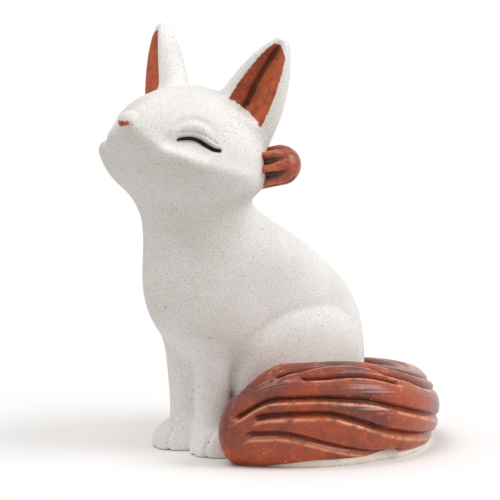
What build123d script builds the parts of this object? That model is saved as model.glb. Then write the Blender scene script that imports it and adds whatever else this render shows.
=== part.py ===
from build123d import *
import math
import os

os.makedirs("parts", exist_ok=True)

# Sitting fox figurine in stoneware, in millimetres.
# +Z is up, the fox faces -Y, its left side is +X and it stands on z = 0.
# Front and back sizes are reaches forward and backward of the middle of the base.

# Glaze lining and clay wall
LINING = 0.8
WALL = 4.5
DRAIN_DIAMETER = 8.0

# Torso: each rise is measured from the level below it
FOOT_ROUNDING = 2.0
HIP_RISE = 22.0
BELLY_RISE = 15.0
CHEST_RISE = 14.0
SHOULDER_RISE = 10.0
NECK_RISE = 9.0
SPIGOT_RISE = 6.0
BASE_HALF_WIDTH = 19.5
BASE_FRONT = 20.0
BASE_BACK = 27.0
HIP_HALF_WIDTH = 22.5
HIP_FRONT = 26.0
HIP_BACK = 31.0
BELLY_HALF_WIDTH = 19.0
BELLY_FRONT = 40.5
BELLY_BACK = 30.0
CHEST_HALF_WIDTH = 19.5
CHEST_FRONT = 43.0
CHEST_BACK = 15.4
SHOULDER_HALF_WIDTH = 18.0
SHOULDER_FRONT = 42.0
SHOULDER_BACK = -0.4
NECK_HALF_WIDTH = 15.0
NECK_FRONT = 43.0
NECK_BACK = -13.5
SPIGOT_INSET = 2.5

# Head: an egg round an upright axis, widest along a ridge that falls from the nose to the cheeks
# Turns are degrees from straight ahead, heights are above the middle of the head
HEAD_FORWARD = 29.5
HEAD_LIFT = 13.0
HEAD_HALF_WIDTH = 25.2
FACE_REACH = 24.0
NAPE_REACH = 15.0
CROWN_HEIGHT = 19.6
JAW_DEPTH = 15.0
NOSE_REACH = 2.2
NOSE_HEIGHT = 12.6
NOSE_SPREAD = 9.0
NOSE_DEPTH = 2.8
RIDGE_REACH = 0.9
RIDGE_DEPTH = 4.0
RIDGE_NOSE_HEIGHT = 11.0
RIDGE_CHEEK_HEIGHT = -3.5
RIDGE_FALL = 1.6
EYE_HOLLOW = 2.4
EYE_TURN = 46.0
EYE_SPREAD = 17.0
EYE_HEIGHT = 8.2
EYE_DEPTH = 4.2
HEAD_BOTTOM_LATITUDE = -72.0
HEAD_TOP_LATITUDE = 82.0
HEAD_RINGS = 16
HEAD_POINTS = 32

# Closed eyes
EYE_LINE_RADIUS = 0.6
EYE_INNER_TURN = 34.0
EYE_OUTER_TURN = 67.0
EYE_INNER_HEIGHT = 6.9
EYE_OUTER_HEIGHT = 4.0
EYE_ARCH = 1.9

# Nose patch
NOSE_PATCH_HALF_WIDTH = 1.8
NOSE_PATCH_RADIUS = 1.5
NOSE_PATCH_SINK = 0.9

# Ears
EAR_SPAN = 30.6
EAR_BEHIND_AXIS = 5.6
EAR_SEAT = 11.5
EAR_LENGTH = 24.6
EAR_ROOT = 6.0
EAR_LEAN_OUT = 22.0
EAR_LEAN_BACK = 15.0
EAR_TURN_OUT = 22.0
EAR_WIDTH = 18.5
EAR_THICKNESS = 12.0
EAR_TIP_WIDTH = 3.0
EAR_RIM = 2.2
EAR_WELL_DEPTH = 5.0
EAR_WELL_START = 1.0

# Cheek tufts
TUFT_LENGTH = 7.5
TUFT_ROOT = 8.0
TUFT_RADIUS = 5.7
TUFT_NOSE = 6.5
TUFT_BEHIND_AXIS = 6.5
TUFT_DROP = 3.0
TUFT_SWEEP = 20.0
TUFT_LIFT = 14.0
TUFT_GROOVES = 7
TUFT_GROOVE_WIDTH = 1.8
TUFT_GROOVE_DEPTH = 1.7

# Forelegs
LEG_TOP_RISE = 36.0
LEG_TOP_RADIUS = 6.4
LEG_ANKLE_RISE = 12.0
LEG_RADIUS = 4.8
LEG_FORWARD = 26.7
PAW_FORWARD = 25.9
PAW_HALF_WIDTH = 7.5
PAW_RADIUS = 8.4
TOE_GROOVE_WIDTH = 0.9
TOE_GROOVE_DEPTH = 0.7
TOE_PITCH = 4.8

# Hind legs
HAUNCH_SPREAD = 11.6
HAUNCH_FORWARD = 1.0
HAUNCH_RISE = 23.0
HAUNCH_HALF_WIDTH = 12.2
HAUNCH_REACH = 22.0
HAUNCH_HALF_HEIGHT = 18.5
HIND_PAW_SPREAD = 13.0
HIND_PAW_FORWARD = 19.5
HIND_PAW_RADIUS = 7.0

# Tail: curls round the left side; turns are degrees from +X towards the back
TAIL_MIDDLE = 9.0
TAIL_CLEARANCE = 3.0
TAIL_ROOT_TURN = 112.0
TAIL_NARROW_TURN = 58.0
TAIL_NARROWING_TURN = -25.0
TAIL_FULL_TURN = -45.0
TAIL_TIP_TURN = -75.0
TAIL_ROOT_HALF_WIDTH = 8.5
TAIL_HALF_WIDTH = 12.0
TAIL_TIP_HALF_WIDTH = 2.4
TAIL_ROOT_HEIGHT = 20.0
TAIL_HEIGHT = 27.5
TAIL_TIP_HEIGHT = 8.0
TAIL_TUCK = 12.0
TAIL_SINK = 2.2
TAIL_LOCKS = 10
TAIL_GROOVE = 1.1
TAIL_SLIDE_ROOT = 1.6
TAIL_SLIDE_EVEN = 0.45
TAIL_STATIONS = 9
TAIL_TIP_STATIONS = 5
TAIL_RIM = 1.5

X_AXIS = Vector(1, 0, 0)
Y_AXIS = Vector(0, 1, 0)
Z_AXIS = Vector(0, 0, 1)
ABOVE_TABLE = Pos(0, 0, 100) * Box(400, 400, 200)
LEFT_HALF = Pos(200, 0, 0) * Box(400, 400, 400)


def ring(points):
    """A smooth closed curve, with the same parameters on every ring of a skin."""
    count = len(points)
    return Wire([Edge.make_spline(points, periodic=True, parameters=[i / count for i in range(count + 1)])])


def oval(middle, across, along, half_across, half_along):
    """A ring that is an ellipse about middle, in the plane of two directions."""
    turns = [math.radians(30 * i) for i in range(12)]
    return ring([
        middle + across * (half_across * math.cos(t)) + along * (half_along * math.sin(t)) for t in turns
    ])


def spheroid(half_width, radius):
    """A flattened or stretched ball, round about X."""
    half = Ellipse(half_width, radius) & Pos(0, radius) * Rectangle(4 * half_width, 2 * radius)
    return revolve(half, Axis.X)


def largest(shape):
    return max(shape.solids(), key=lambda solid: solid.volume)


def cut(shape, *tools):
    """The largest solid that is left of a shape after all the tools."""
    for tool in tools:
        shape = largest(shape - tool)
    return shape


def mirrored(shape):
    return largest(mirror(shape, about=Plane.YZ))


# Torso: a stack of ovals from the base to the spigot that carries the head
HIP_Z = HIP_RISE
BELLY_Z = HIP_Z + BELLY_RISE
CHEST_Z = BELLY_Z + CHEST_RISE
SHOULDER_Z = CHEST_Z + SHOULDER_RISE
NECK_Z = SHOULDER_Z + NECK_RISE
SPIGOT_Z = NECK_Z + SPIGOT_RISE


def torso_ring(z, half_width, front, back, inset=0.0):
    middle = Vector(0, (back - front) / 2, z)
    return oval(middle, X_AXIS, Y_AXIS, half_width - inset, (front + back) / 2 - inset)


def torso_rings(inset):
    return [
        torso_ring(HIP_Z, HIP_HALF_WIDTH, HIP_FRONT, HIP_BACK, inset),
        torso_ring(BELLY_Z, BELLY_HALF_WIDTH, BELLY_FRONT, BELLY_BACK, inset),
        torso_ring(CHEST_Z, CHEST_HALF_WIDTH, CHEST_FRONT, CHEST_BACK, inset),
        torso_ring(SHOULDER_Z, SHOULDER_HALF_WIDTH, SHOULDER_FRONT, SHOULDER_BACK, inset),
        torso_ring(NECK_Z, NECK_HALF_WIDTH, NECK_FRONT, NECK_BACK, inset),
    ]


foot_rings = [
    torso_ring(0, BASE_HALF_WIDTH, BASE_FRONT, BASE_BACK, FOOT_ROUNDING),
    torso_ring(FOOT_ROUNDING, BASE_HALF_WIDTH, BASE_FRONT, BASE_BACK),
]
spigot_ring = torso_ring(SPIGOT_Z, NECK_HALF_WIDTH, NECK_FRONT, NECK_BACK, SPIGOT_INSET)
torso_solid = Solid.make_loft(foot_rings + torso_rings(0) + [spigot_ring])

floor_ring = torso_ring(WALL, BASE_HALF_WIDTH, BASE_FRONT, BASE_BACK, WALL)
cavity = Solid.make_loft([floor_ring] + torso_rings(WALL), True)
drain = Pos(0, BASE_BACK / 3, 0) * Cylinder(DRAIN_DIAMETER / 2, 4 * WALL)
torso = cut(torso_solid, cavity, drain)

# Head
HEAD_Y = -HEAD_FORWARD
HEAD_Z = NECK_Z + HEAD_LIFT


def bell(offset, spread):
    return math.exp(-((offset / spread) ** 2))


def head_radius(turn, z):
    """Reach of the head from its axis: an egg with a nose, a ridge from nose to cheek, and eye hollows."""
    side = abs(turn)
    sine = math.sin(math.radians(side))
    cosine = math.cos(math.radians(side))
    egg = 1 / math.hypot(sine / HEAD_HALF_WIDTH, cosine / (FACE_REACH if cosine > 0 else NAPE_REACH))
    fall = max(1 - side / 90, 0) ** RIDGE_FALL
    rise = z - RIDGE_CHEEK_HEIGHT - (RIDGE_NOSE_HEIGHT - RIDGE_CHEEK_HEIGHT) * fall
    limit = CROWN_HEIGHT - z + rise if rise > 0 else JAW_DEPTH + z - rise
    share = math.sqrt(max(1 - (rise / limit) ** 2, 0.0))
    nose = NOSE_REACH * bell(side, NOSE_SPREAD) * bell(z - NOSE_HEIGHT, NOSE_DEPTH)
    ridge = RIDGE_REACH * bell(rise, RIDGE_DEPTH) * (1 + cosine) / 2
    hollow = EYE_HOLLOW * bell(side - EYE_TURN, EYE_SPREAD) * bell(z - EYE_HEIGHT, EYE_DEPTH)
    return (egg + nose + ridge - hollow) * share


def head_point(turn, z):
    radius = head_radius(turn, z)
    angle = math.radians(turn)
    return Vector(radius * math.sin(angle), HEAD_Y - radius * math.cos(angle), HEAD_Z + z)


def head_ring(latitude):
    z = (CROWN_HEIGHT if latitude > 0 else JAW_DEPTH) * math.sin(math.radians(latitude))
    return ring([head_point(360 * i / HEAD_POINTS - 180, z) for i in range(HEAD_POINTS)])


latitude_step = (HEAD_TOP_LATITUDE - HEAD_BOTTOM_LATITUDE) / (HEAD_RINGS - 1)
head_solid = Solid.make_loft([head_ring(HEAD_BOTTOM_LATITUDE + i * latitude_step) for i in range(HEAD_RINGS)])
head = cut(head_solid, torso_solid)


def eye_groove(side):
    """A round groove along the arch of a closed eye."""
    stops = []
    for share in (0, 0.35, 0.7, 1):
        turn = EYE_INNER_TURN + (EYE_OUTER_TURN - EYE_INNER_TURN) * share
        level = EYE_INNER_HEIGHT + (EYE_OUTER_HEIGHT - EYE_INNER_HEIGHT) * share
        stops.append(head_point(side * turn, level + EYE_ARCH * math.sin(math.pi * share)))
    path = Edge.make_spline(stops)
    return sweep(Plane(origin=path @ 0, z_dir=path % 0) * Circle(EYE_LINE_RADIUS), path=path)


left_groove = eye_groove(1)
right_groove = eye_groove(-1)
left_eye_line = largest(head & left_groove)
right_eye_line = largest(head & right_groove)
head = cut(head, left_groove, right_groove)

nose_pad = Pos(head_point(0, NOSE_HEIGHT) + Y_AXIS * (NOSE_PATCH_RADIUS - NOSE_PATCH_SINK))
nose_pad = nose_pad * spheroid(NOSE_PATCH_HALF_WIDTH, NOSE_PATCH_RADIUS)
nose_glaze = largest(head & nose_pad)
head = cut(head, nose_pad)

# Ears: a leaning cone with a three-sided well, lined with glaze
ear_seat = Vector(EAR_SPAN / 2, HEAD_Y + EAR_BEHIND_AXIS, HEAD_Z + EAR_SEAT)
ear_up = Vector(math.tan(math.radians(EAR_LEAN_OUT)), math.tan(math.radians(EAR_LEAN_BACK)), 1).normalized()
ear_ahead = Vector(math.sin(math.radians(EAR_TURN_OUT)), -math.cos(math.radians(EAR_TURN_OUT)), 0)
ear_front = (ear_ahead - ear_up * ear_ahead.dot(ear_up)).normalized()
ear_side = ear_front.cross(ear_up)


def ear_ring(share):
    """A ring of the ear; share is 0 at the seat and 1 at the tip, and below 0 inside the head."""
    size = math.cos(max(share, 0) * math.pi / 2)
    half_width = (EAR_TIP_WIDTH + (EAR_WIDTH - EAR_TIP_WIDTH) * size ** 0.8) / 2
    half_thickness = (EAR_TIP_WIDTH + (EAR_THICKNESS - EAR_TIP_WIDTH) * size ** 0.5) / 2
    return oval(ear_seat + ear_up * (EAR_LENGTH * share), ear_side, ear_front, half_width, half_thickness)


def ear_wedge(lift):
    """The wedge that hollows the ear, or with its floor lifted the room over the lining."""
    ends = []
    for rise, half_width in ((EAR_WELL_START, EAR_WIDTH / 2 - EAR_RIM), (EAR_LENGTH, EAR_TIP_WIDTH / 4)):
        share = half_width / (EAR_WIDTH / 2)
        depth = EAR_WELL_DEPTH * share
        floor = ear_seat + ear_up * rise + ear_front * (EAR_THICKNESS / 2 * share - depth + lift)
        brim = floor + ear_front * (4 * depth)
        spread = ear_side * (4 * half_width)
        ends.append(Wire.make_polygon([floor, brim + spread, brim - spread]))
    return Solid.make_loft(ends, True)


ear_solid = Solid.make_loft([ear_ring(s) for s in (-EAR_ROOT / EAR_LENGTH, 0, 0.3, 0.6, 0.85, 1)])
ear_well = ear_wedge(0)
hollow_ear = cut(ear_solid, ear_well)
ear_lining = cut(ear_solid & ear_well, ear_wedge(LINING))
left_ear = cut(hollow_ear, head_solid)
right_ear = cut(mirrored(hollow_ear), head_solid)
left_ear_lining = cut(ear_lining, head_solid)
right_ear_lining = cut(mirrored(ear_lining), head_solid)

# Cheek tufts: a blunt bullet carved with tapering grooves
tuft_length = TUFT_ROOT + TUFT_LENGTH
tuft_base = Vector(HEAD_HALF_WIDTH - TUFT_ROOT, HEAD_Y + TUFT_BEHIND_AXIS, HEAD_Z - TUFT_DROP)


def tuft():
    straight = tuft_length - TUFT_NOSE
    dome = Pos(straight, 0) * Ellipse(TUFT_NOSE, TUFT_RADIUS)
    dome = dome & Pos(straight + TUFT_NOSE / 2, TUFT_RADIUS) * Rectangle(TUFT_NOSE, 2 * TUFT_RADIUS)
    shank = Pos(straight / 2, TUFT_RADIUS / 2) * Rectangle(straight, TUFT_RADIUS)
    bullet = largest(revolve(dome + shank, Axis.X))
    brim = TUFT_RADIUS + TUFT_GROOVE_DEPTH
    spread = TUFT_GROOVE_WIDTH * brim / TUFT_RADIUS
    wide = Wire.make_polygon([
        (0, brim, spread),
        (0, brim, -spread),
        (0, TUFT_RADIUS - TUFT_GROOVE_DEPTH, 0),
    ])
    narrow = Wire.make_polygon([
        (tuft_length, brim, spread / 3),
        (tuft_length, brim, -spread / 3),
        (tuft_length, TUFT_RADIUS - TUFT_GROOVE_DEPTH / 2, 0),
    ])
    wedge = Solid.make_loft([wide, narrow], True)
    for i in range(TUFT_GROOVES):
        bullet = cut(bullet, Rot(360 / TUFT_GROOVES * i, 0, 0) * wedge)
    return largest(Pos(tuft_base) * Rot(0, 0, TUFT_SWEEP) * Rot(0, -TUFT_LIFT, 0) * bullet)


whole_tuft = tuft()
left_cheek_tuft = cut(whole_tuft, head_solid, left_ear)
right_cheek_tuft = cut(mirrored(whole_tuft), head_solid, right_ear)


# Tail: one long form carved into locks, glazed down to a bare clay foot, curling clear of the haunch
TAIL_OUTER_RADIUS = HAUNCH_SPREAD + HAUNCH_HALF_WIDTH - TAIL_MIDDLE + TAIL_CLEARANCE + 2 * TAIL_HALF_WIDTH


def tail_size(turn):
    """1 where the tail is full, and 0 at the very tip."""
    share = max(TAIL_FULL_TURN - turn, 0) / (TAIL_FULL_TURN - TAIL_TIP_TURN)
    return max(1 - share ** 1.8, 0.0) ** 0.6


def tail_waist(turn):
    """0 where the tail is full, and 1 where it has narrowed behind the haunch."""
    share = min(max((turn - TAIL_NARROWING_TURN) / (TAIL_NARROW_TURN - TAIL_NARROWING_TURN), 0), 1)
    return share * share * (3 - 2 * share)


def tail_form(turn):
    """Middle of a section of the tail, its outward direction and its half sizes."""
    size = tail_size(turn)
    waist = tail_waist(turn)
    half_width = TAIL_TIP_HALF_WIDTH + (TAIL_HALF_WIDTH - TAIL_TIP_HALF_WIDTH) * size
    half_width -= (TAIL_HALF_WIDTH - TAIL_ROOT_HALF_WIDTH) * waist
    height = TAIL_TIP_HEIGHT + (TAIL_HEIGHT - TAIL_TIP_HEIGHT) * size
    height -= (TAIL_HEIGHT - TAIL_ROOT_HEIGHT) * waist
    half_height = (height + TAIL_SINK) / 2
    tuck = TAIL_TUCK * (max(turn - TAIL_NARROW_TURN, 0) / (TAIL_ROOT_TURN - TAIL_NARROW_TURN)) ** 2
    outward = Vector(math.cos(math.radians(turn)), math.sin(math.radians(turn)), 0)
    middle = Vector(TAIL_MIDDLE, 0, height - half_height) + outward * (TAIL_OUTER_RADIUS - tuck - half_width)
    return middle, outward, half_width, half_height


def tail_section(turn):
    """A closed ring of locks standing on the rim, and the foot's outline below it."""
    middle, outward, half_width, half_height = tail_form(turn)
    groove = TAIL_GROOVE * half_width / TAIL_HALF_WIDTH
    low = math.asin((TAIL_RIM - middle.Z) / half_height)
    lap = math.pi - 2 * low
    slide = TAIL_SLIDE_ROOT ** ((turn - TAIL_TIP_TURN) / (TAIL_ROOT_TURN - TAIL_TIP_TURN) - TAIL_SLIDE_EVEN)

    def spot(place, sink):
        angle = low + lap * (place / TAIL_LOCKS) ** slide
        sink = sink if 0 < place < TAIL_LOCKS else 0
        across = outward * ((half_width - sink) * math.cos(angle))
        return middle + across + Z_AXIS * ((half_height - sink) * math.sin(angle))

    locks = [
        Edge.make_three_point_arc(spot(i, groove), spot(i + 0.5, 0), spot(i + 1, groove))
        for i in range(TAIL_LOCKS)
    ]
    outer = spot(0, 0)
    inner = spot(TAIL_LOCKS, 0)
    drop = Z_AXIS * TAIL_RIM
    inset = outward * min(TAIL_RIM / 2, half_width / 4)
    foot = Wire.make_polygon([outer, inner, inner - drop + inset, outer - drop - inset])
    return Wire(locks + [Edge.make_line(inner, outer)]), foot


body_turns = [
    TAIL_ROOT_TURN + (TAIL_FULL_TURN - TAIL_ROOT_TURN) * i / (TAIL_STATIONS - 1) for i in range(TAIL_STATIONS)
]
tip_turns = [
    TAIL_FULL_TURN + (TAIL_TIP_TURN - TAIL_FULL_TURN) * math.sin(math.pi / 2 * (i + 1) / TAIL_TIP_STATIONS)
    for i in range(TAIL_TIP_STATIONS)
]
tail_turns = body_turns + tip_turns
tail_sections = [tail_section(turn) for turn in tail_turns]
tail = cut(Solid.make_loft([locks for locks, _ in tail_sections]), torso_solid)
tail_foot = cut(Solid.make_loft([foot for _, foot in tail_sections]), torso_solid)


# Forelegs: a tapered shaft on a paw with carved toes
def foreleg():
    shaft = Solid.make_loft([
        oval(Vector(radius, -LEG_FORWARD, z), X_AXIS, Y_AXIS, radius, radius)
        for z, radius in ((0, LEG_RADIUS), (LEG_ANKLE_RISE, LEG_RADIUS), (LEG_TOP_RISE, LEG_TOP_RADIUS))
    ])
    seat = Pos(PAW_HALF_WIDTH, -PAW_FORWARD, 0)
    paw = largest(seat * spheroid(PAW_HALF_WIDTH, PAW_RADIUS))
    uncarved = seat * spheroid(PAW_HALF_WIDTH - TOE_GROOVE_DEPTH, PAW_RADIUS - TOE_GROOVE_DEPTH)
    for offset in (-TOE_PITCH / 2, TOE_PITCH / 2):
        blade = Pos(PAW_HALF_WIDTH + offset, -PAW_FORWARD - PAW_RADIUS, 0)
        blade = blade * Box(TOE_GROOVE_WIDTH, PAW_RADIUS, 2 * PAW_RADIUS)
        paw = cut(paw, blade - uncarved)
    return largest(largest(shaft + paw) & ABOVE_TABLE)


whole_foreleg = foreleg()
left_foreleg = cut(largest(whole_foreleg & LEFT_HALF), torso_solid)
right_foreleg = cut(mirrored(whole_foreleg), LEFT_HALF, torso_solid)


# Hind legs: a round haunch on a small paw
def hind_leg():
    flattening = (HAUNCH_HALF_WIDTH / HAUNCH_REACH, 1, HAUNCH_HALF_HEIGHT / HAUNCH_REACH)
    haunch = scale(Sphere(HAUNCH_REACH), flattening)
    haunch = Pos(HAUNCH_SPREAD, -HAUNCH_FORWARD, HAUNCH_RISE) * haunch
    paw = Pos(HIND_PAW_SPREAD, -HIND_PAW_FORWARD, 0) * Rot(0, 0, 180) * Sphere(HIND_PAW_RADIUS)
    return largest(largest(haunch + paw) & ABOVE_TABLE)


whole_hind_leg = hind_leg()
left_hind_leg = cut(whole_hind_leg, torso_solid, left_foreleg)
right_hind_leg = cut(mirrored(whole_hind_leg), torso_solid, right_foreleg)


for node, shape in {
    "torso": torso,
    "head": head,
    "left_eye_line": left_eye_line,
    "right_eye_line": right_eye_line,
    "nose_glaze": nose_glaze,
    "left_ear": left_ear,
    "right_ear": right_ear,
    "left_ear_lining": left_ear_lining,
    "right_ear_lining": right_ear_lining,
    "left_cheek_tuft": left_cheek_tuft,
    "right_cheek_tuft": right_cheek_tuft,
    "left_foreleg": left_foreleg,
    "right_foreleg": right_foreleg,
    "left_hind_leg": left_hind_leg,
    "right_hind_leg": right_hind_leg,
    "tail": tail,
    "tail_foot": tail_foot,
}.items():
    export_step(shape, f"parts/{node}.step")
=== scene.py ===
import math

import bpy
import numpy as np
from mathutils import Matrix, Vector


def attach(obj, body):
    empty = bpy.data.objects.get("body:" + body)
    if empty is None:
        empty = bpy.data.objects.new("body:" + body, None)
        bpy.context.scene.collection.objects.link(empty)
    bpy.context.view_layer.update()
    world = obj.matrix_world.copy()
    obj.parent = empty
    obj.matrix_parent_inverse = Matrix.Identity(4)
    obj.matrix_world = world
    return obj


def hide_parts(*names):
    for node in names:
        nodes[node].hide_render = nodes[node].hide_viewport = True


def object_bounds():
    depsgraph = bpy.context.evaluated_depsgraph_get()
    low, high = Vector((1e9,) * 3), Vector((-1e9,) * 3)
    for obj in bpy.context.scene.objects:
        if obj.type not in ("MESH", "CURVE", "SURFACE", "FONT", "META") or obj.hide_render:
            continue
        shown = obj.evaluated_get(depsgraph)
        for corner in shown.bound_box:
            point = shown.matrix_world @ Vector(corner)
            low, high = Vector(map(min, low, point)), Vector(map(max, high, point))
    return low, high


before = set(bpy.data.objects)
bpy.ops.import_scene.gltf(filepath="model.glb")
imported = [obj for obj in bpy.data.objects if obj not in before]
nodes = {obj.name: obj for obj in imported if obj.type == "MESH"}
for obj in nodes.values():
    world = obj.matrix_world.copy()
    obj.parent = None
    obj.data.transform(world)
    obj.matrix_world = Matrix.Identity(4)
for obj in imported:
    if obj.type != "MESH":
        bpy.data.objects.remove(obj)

import openvdb
from mathutils import Vector

cad_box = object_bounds()

# Fields: signed distances in millimetres on one grid over the whole figurine
MM = 1000
CELL = 0.4
BAND_CELLS = 18
MARGIN_CELLS = 6
FAR = CELL * BAND_CELLS
low = np.floor(np.array(cad_box[0]) * MM / CELL).astype(int) - MARGIN_CELLS
high = np.ceil(np.array(cad_box[1]) * MM / CELL).astype(int) + MARGIN_CELLS
ORIGIN = tuple(int(n) for n in low)
SHAPE = tuple(int(n) for n in high - low)
AXES = [((low[i] + np.arange(SHAPE[i])) * CELL).astype(np.float32) for i in range(3)]
SIDES = {"left": 1, "right": -1}


def node_mesh(name):
    """Points in millimetres and triangles of a CAD node, with doubled points merged."""
    mesh = nodes[name].data
    points = np.zeros(len(mesh.vertices) * 3, np.float32)
    mesh.vertices.foreach_get("co", points)
    mesh.calc_loop_triangles()
    triangles = np.zeros(len(mesh.loop_triangles) * 3, np.int32)
    mesh.loop_triangles.foreach_get("vertices", triangles)
    points = points.reshape(-1, 3) * MM
    unique, inverse = np.unique(np.round(points, 4), axis=0, return_inverse=True)
    return unique.astype(np.float32), inverse.reshape(-1)[triangles].reshape(-1, 3)


def node_field(name):
    """Distance to a CAD node, negative inside."""
    points, triangles = node_mesh(name)
    good = (triangles[:, 0] != triangles[:, 1]) & (triangles[:, 1] != triangles[:, 2])
    good &= triangles[:, 0] != triangles[:, 2]
    grid = openvdb.FloatGrid.createLevelSetFromPolygons(
        points,
        triangles=triangles[good].astype(np.uint32),
        transform=openvdb.createLinearTransform(CELL),
        halfWidth=BAND_CELLS,
    )
    values = np.zeros(SHAPE, np.float32)
    grid.copyToArray(values, ijk=ORIGIN)
    return values


def field_surface(values):
    """Points in millimetres and quads where a field is 0."""
    grid = openvdb.FloatGrid(FAR)
    grid.copyFromArray(np.ascontiguousarray(values), ijk=ORIGIN, tolerance=0)
    grid.transform = openvdb.createLinearTransform(CELL)
    points, quads = grid.convertToQuads(0.0)
    return points, quads.astype(np.int64)


def blend(a, b, reach):
    """Union of two fields with a soft fillet."""
    over = np.maximum(reach - np.abs(a - b), 0) / reach
    return np.minimum(a, b) - over * over * (reach / 4)


def soften(values, rounds):
    """Blur a field, which rounds its edges."""
    for _ in range(rounds):
        for axis in range(3):
            ends = np.roll(values, 1, axis) + np.roll(values, -1, axis)
            values = 0.5 * values + 0.25 * ends
    return values


def bell(distance, width):
    """1 at distance 0, falling off on both sides."""
    return np.exp(-((distance / width) ** 2))


def rise(value, start, run):
    """0 up to start and 1 beyond start + run, or downwards where run is below 0."""
    return np.clip((value - start) / run, 0, 1)


def smooth_step(x):
    """0 below 0 and 1 above 1, eased between them."""
    x = np.clip(x, 0, 1)
    return x * x * (3 - 2 * x)


def fade(share, ends):
    """0 at both ends of a path and 1 along its middle."""
    return smooth_step(np.minimum(share, 1 - share) / ends)


def window(lower, upper):
    """Slices of the grid between two corners in millimetres, and the coordinates there."""
    first = [int((lower[i] - AXES[i][0]) / CELL) for i in range(3)]
    last = [int((upper[i] - AXES[i][0]) / CELL) + 1 for i in range(3)]
    part = tuple(slice(max(a, 0), b) for a, b in zip(first, last))
    return part, np.meshgrid(*(AXES[i][part[i]] for i in range(3)), indexing="ij")


def side_window(side, lower, upper):
    """A window given for the left side, mirrored where side is -1."""
    first, last = sorted([side * lower[0], side * upper[0]])
    return window((first, *lower[1:]), (last, *upper[1:]))


def along_axes(spot, side, seat, axes):
    """Coordinates from a seat along three axes, mirrored where side is -1."""
    x, y, z = spot
    offset = (x * side - seat[0], y - seat[1], z - seat[2])
    return tuple(sum(offset[k] * axis[k] for k in range(3)) for axis in axes)


def smooth_path(stops, count):
    """A Catmull-Rom curve through a few points."""
    stops = np.array(stops, float)
    padded = np.vstack([2 * stops[0] - stops[1], stops, 2 * stops[-1] - stops[-2]])
    # Keeps the last point just inside the last stretch
    short = 1e-9
    t = np.linspace(0, len(stops) - 1 - short, count)
    i = t.astype(int)
    f = (t - i)[:, None]
    a, b, c, d = (padded[i + k] for k in range(4))
    return 0.5 * (2 * b + (c - a) * f + (2 * a - 5 * b + 4 * c - d) * f**2 + (3 * b - a - 3 * c + d) * f**3)


def path_distance(grid, path):
    """Distance to a path and the share along it where it is nearest."""
    best = np.full(grid[0].shape, np.inf, np.float32)
    share = np.zeros(grid[0].shape, np.float32)
    for k, p in enumerate(path):
        d = (grid[0] - p[0]) ** 2 + (grid[1] - p[1]) ** 2 + (grid[2] - p[2]) ** 2
        closer = d < best
        best[closer] = d[closer]
        share[closer] = k / (len(path) - 1)
    return np.sqrt(best), share


def lookup(values, points):
    """Trilinear values of a field at points in millimetres."""
    at = points / CELL - low
    base = np.clip(np.floor(at).astype(int), 0, np.array(SHAPE) - 2)
    f = at - base
    total = 0
    for corner in range(8):
        pick = np.array([(corner >> k) & 1 for k in range(3)])
        weight = np.prod(np.where(pick, f, 1 - f), axis=1)
        i = base + pick
        total = total + weight * values[i[:, 0], i[:, 1], i[:, 2]]
    return total


# Stoneware body: the clay pieces joined with fillets, haunches and paws a little fuller
CLAY = [
    "torso", "head", "left_ear", "right_ear",
    "left_foreleg", "right_foreleg", "left_hind_leg", "right_hind_leg",
]
FACE_MARKS = ["left_eye_line", "right_eye_line", "nose_glaze"]
LININGS = ["left_ear_lining", "right_ear_lining"]
NECK_FILLET = 7.0
FORELEG_FILLET = 0.6
CHEST_FILLET = 1.8
HAUNCH_FILLET = 1.2
EAR_FILLET = 3.0
EAR_SOFTENING = 2
BODY_SOFTENING = 3
HAUNCH_SWELL = 0.6
PAW_SWELL = 0.7
PAW_TOP = 11
PAW_RISE = 6
PAW_BACK = -20
PAW_RUN = 5
fields = {name: node_field(name) for name in CLAY + LININGS + FACE_MARKS}

head = fields["head"]
for name in FACE_MARKS:
    head = np.minimum(head, fields[name])
body = blend(fields["torso"], head, NECK_FILLET)
legs = blend(fields["left_foreleg"], fields["right_foreleg"], FORELEG_FILLET)
paw = rise(AXES[2], PAW_TOP, -PAW_RISE)[None, None, :] * rise(AXES[1], PAW_BACK, -PAW_RUN)[None, :, None]
legs = np.maximum(legs - PAW_SWELL * paw, -AXES[2][None, None, :])
body = blend(body, legs, CHEST_FILLET)
for side in SIDES:
    body = blend(body, fields[side + "_hind_leg"] - HAUNCH_SWELL, HAUNCH_FILLET)
    ear = np.minimum(fields[side + "_ear"], fields[side + "_ear_lining"])
    body = blend(body, soften(ear, EAR_SOFTENING), EAR_FILLET)
body = soften(body, BODY_SOFTENING)

# Face: each line is a run of (turn from straight ahead, height above the middle of the head)
HEAD_Y = -29.5
HEAD_Z = 83.0
SLIT = [(34, 7.0), (37, 7.5), (45, 7.6), (51, 7.0), (57, 5.7), (61, 4.9), (66, 4.5)]
CREASE = [(33.5, 8.5), (38.5, 9.4), (45, 9.5), (51.5, 9.1), (57, 8.2), (61, 7.1), (66, 5.7)]
BROW = [(31, 9.7), (34, 11.0), (38.5, 12.0), (45.5, 12.5), (51.5, 12.3), (57.5, 11.4), (62, 9.9), (68, 7.7)]
RIDGE = [(3, 10.8), (25, 6.1), (50, 1.7), (76, -1.7), (92, -3.6)]
KEEL = [(0, 11.5), (0, 8.5), (0, 5.5), (0, 2.0)]
LID = [(36, 9.5), (45, 10.8), (53, 10.3), (61, 8.5)]
SOCKET = [(20, 7.8), (28, 7.0), (37, 6.9), (46, 6.2), (54, 4.9), (62, 3.6)]
RAY_START = 32.0
RAY_END = 8.0
RAY_STEP = 0.05
FACE_POINTS = 60
KEEL_POINTS = 30
EYE_POINTS = 70

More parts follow.
